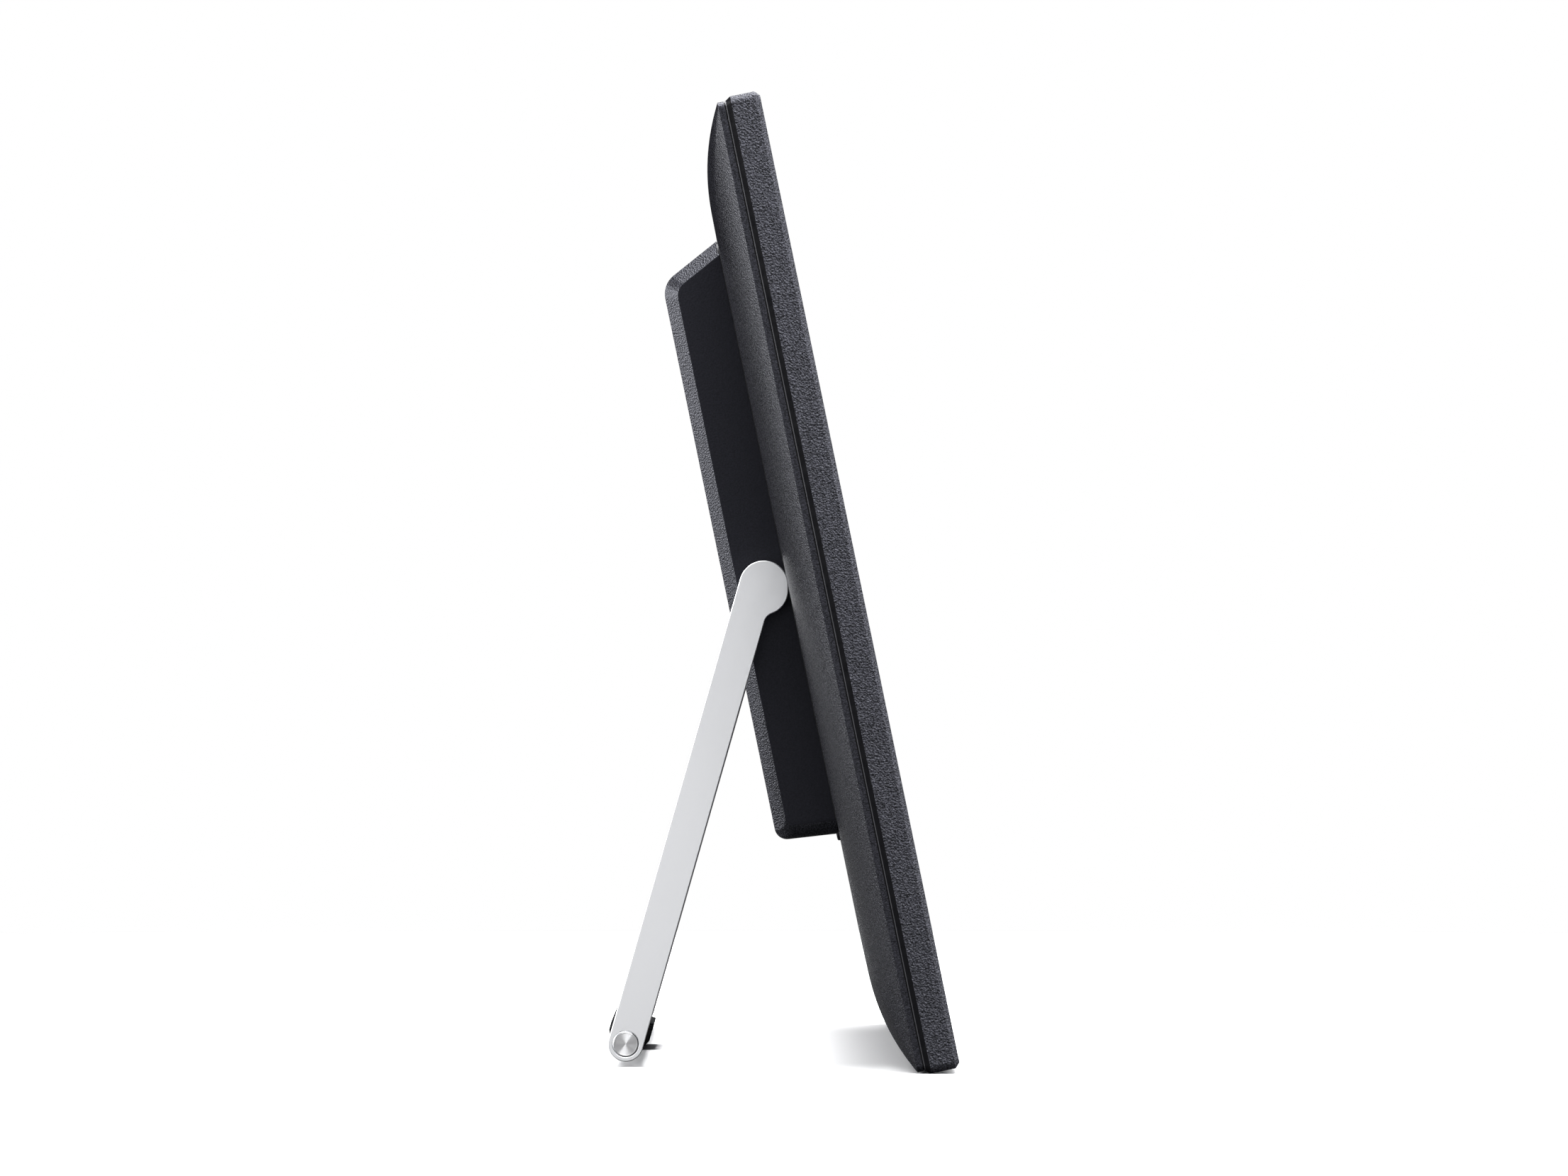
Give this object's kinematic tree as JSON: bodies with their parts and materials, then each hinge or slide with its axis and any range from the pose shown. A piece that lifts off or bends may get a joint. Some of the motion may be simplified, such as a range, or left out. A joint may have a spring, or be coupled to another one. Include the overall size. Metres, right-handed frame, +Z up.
{
  "type": "digital photo frame",
  "caption": "Large free-standing digital photo frame: a slim charcoal display body with an electronics housing on its back, leaning on a fold-out aluminium stand with a rubber shoe.",
  "frame": {"origin": "bottom centre of the whole object's box, on the surface it stands on", "axes": "+X to the right of someone looking at the screen, -Y the way the screen faces, +Z up"},
  "size_m": [0.53, 0.119, 0.325],
  "materials": {
    "body_plastic": "charcoal moulded plastic with a fine spark-eroded grain",
    "housing_plastic": "charcoal moulded plastic, smooth matte",
    "screen_glass": "black printed cover glass, glossy",
    "backlight_film": "white diffuser film",
    "light_guide_acrylic": "clear acrylic",
    "sheet_steel": "zinc-plated sheet",
    "hardware_steel": "plated fasteners and shafts",
    "stand_aluminium": "satin anodised",
    "spun_aluminium": "turned, with fine concentric lines",
    "heat_sink_aluminium": "extruded",
    "black_rubber": "soft black rubber",
    "lead_insulation": "flexible black insulation",
    "circuit_board": "green solder mask",
    "flex_circuit": "amber polyimide",
    "black_moulding": "black moulded plastic"
  },
  "bodies": {
    "display_body": {"front_bezel": "body_plastic", "rear_cover": "body_plastic", "electronics_cover": "housing_plastic", "front_glass": "screen_glass", "lcd_cell": "screen_glass", "diffuser_sheets": "backlight_film", "led_strip": "backlight_film", "light_guide": "light_guide_acrylic", "backlight_tray": "sheet_steel", "chassis_plate": "sheet_steel", "wall_mount_plate": "sheet_steel", "hinge_bracket_left": "sheet_steel", "hinge_bracket_right": "sheet_steel", "cover_screw_1": "hardware_steel", "cover_screw_2": "hardware_steel", "cover_screw_3": "hardware_steel", "cover_screw_4": "hardware_steel", "heat_sink": "heat_sink_aluminium", "foot_pad_left": "black_rubber", "foot_pad_right": "black_rubber", "display_gasket": "black_rubber", "speaker_lead_left": "lead_insulation", "speaker_lead_right": "lead_insulation", "main_board": "circuit_board", "power_board": "circuit_board", "wifi_module": "circuit_board", "button_board": "circuit_board", "display_flex": "flex_circuit", "wifi_antenna": "flex_circuit", "dc_jack": "black_moulding", "usb_port_a": "black_moulding", "usb_port_b": "black_moulding", "audio_jack": "black_moulding", "card_slot": "black_moulding", "speaker_left": "black_moulding", "speaker_right": "black_moulding", "hinge_bushing_left": "black_moulding", "hinge_bushing_right": "black_moulding"},
    "stand": {"stand_arm_left": "stand_aluminium", "hinge_shaft_left": "hardware_steel", "spring_washers_left": "hardware_steel", "hinge_nut_left": "hardware_steel", "end_cap_left": "spun_aluminium", "stand_arm_right": "stand_aluminium", "hinge_shaft_right": "hardware_steel", "spring_washers_right": "hardware_steel", "hinge_nut_right": "hardware_steel", "end_cap_right": "spun_aluminium", "cross_bar": "stand_aluminium", "foot_shoe": "black_rubber"},
    "power_key": {"power_button": "black_moulding"},
    "menu_key": {"menu_button": "black_moulding"},
    "up_key": {"up_button": "black_moulding"},
    "down_key": {"down_button": "black_moulding"},
    "back_key": {"back_button": "black_moulding"}
  },
  "joints": [
    {"name": "stand_hinge", "type": "hinge", "parent": "display_body", "child": "stand", "pos_m": [0, 0.00538, 0.1617], "axis": [1, 0, 0], "range_deg": [-27.6, 92.3]},
    {"name": "power_press", "type": "slide", "parent": "display_body", "child": "power_key", "axis": [0, -0.9794, 0.2021], "range_m": [0, 0.0007], "stiffness_N_per_m": 800, "springref_m": -0.001},
    {"name": "menu_press", "type": "slide", "parent": "display_body", "child": "menu_key", "axis": [0, -0.9794, 0.2021], "range_m": [0, 0.0007], "stiffness_N_per_m": 800, "springref_m": -0.001},
    {"name": "up_press", "type": "slide", "parent": "display_body", "child": "up_key", "axis": [0, -0.9794, 0.2021], "range_m": [0, 0.0007], "stiffness_N_per_m": 800, "springref_m": -0.001},
    {"name": "down_press", "type": "slide", "parent": "display_body", "child": "down_key", "axis": [0, -0.9794, 0.2021], "range_m": [0, 0.0007], "stiffness_N_per_m": 800, "springref_m": -0.001},
    {"name": "back_press", "type": "slide", "parent": "display_body", "child": "back_key", "axis": [0, -0.9794, 0.2021], "range_m": [0, 0.0007], "stiffness_N_per_m": 800, "springref_m": -0.001}
  ]
}
